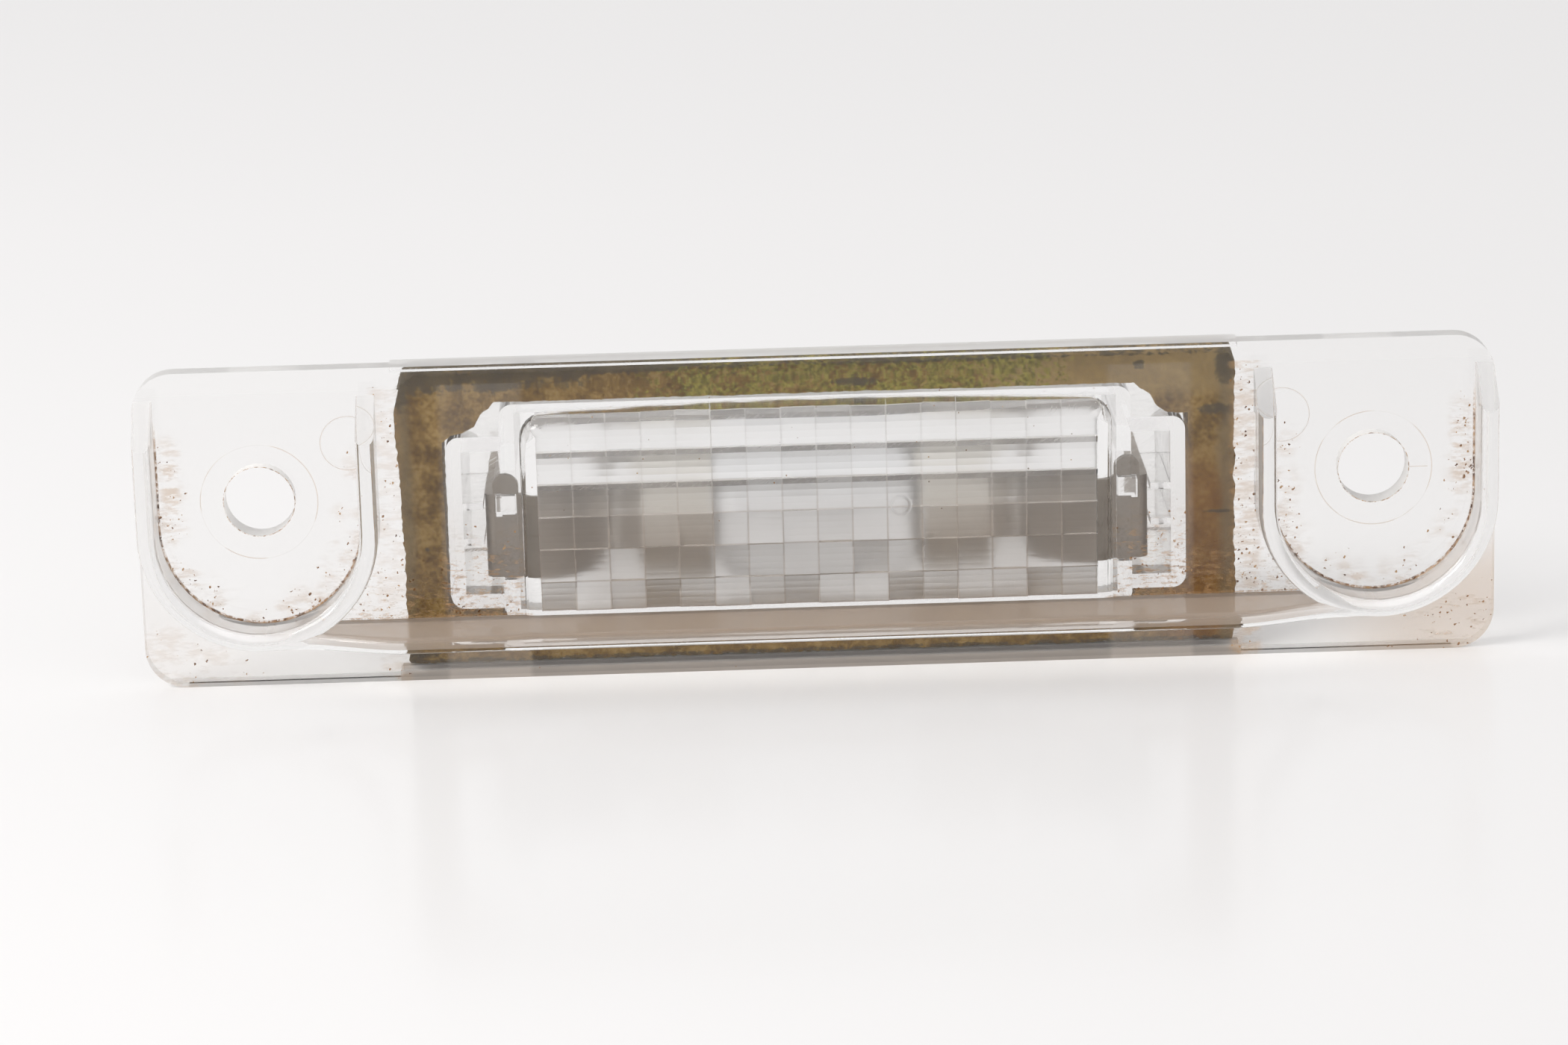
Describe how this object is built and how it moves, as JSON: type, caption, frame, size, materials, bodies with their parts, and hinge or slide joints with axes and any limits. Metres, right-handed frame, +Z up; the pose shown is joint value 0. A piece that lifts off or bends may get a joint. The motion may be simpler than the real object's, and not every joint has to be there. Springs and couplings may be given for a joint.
{
  "type": "number plate lamp",
  "caption": "Clear plastic number plate lamp with two screw pockets, a raised prism window, a foam gasket, spring contacts and a festoon bulb.",
  "frame": {"origin": "midway between the two screw holes, on the flange's rear face, which seats on the car's panel", "axes": "+X along the lamp, -Y out of the panel towards the viewer, +Z up, square to the flange's long edges"},
  "size_m": [0.1, 0.0242, 0.0239],
  "materials": {
    "clear_plastic": "clear, glossy, lightly scratched and dirty",
    "foam": "open foam, stained",
    "contact_metal": "tinned sheet, dull",
    "bulb_glass": "clear",
    "cap_metal": "nickel plated, dull",
    "filament_wire": "bare wire"
  },
  "bodies": {
    "root": {"lens": "clear_plastic", "foam_gasket": "foam", "contact_left": "contact_metal", "contact_right": "contact_metal", "bulb_glass": "bulb_glass", "bulb_cap_left": "cap_metal", "bulb_cap_right": "cap_metal", "filament": "filament_wire"}
  },
  "joints": []
}
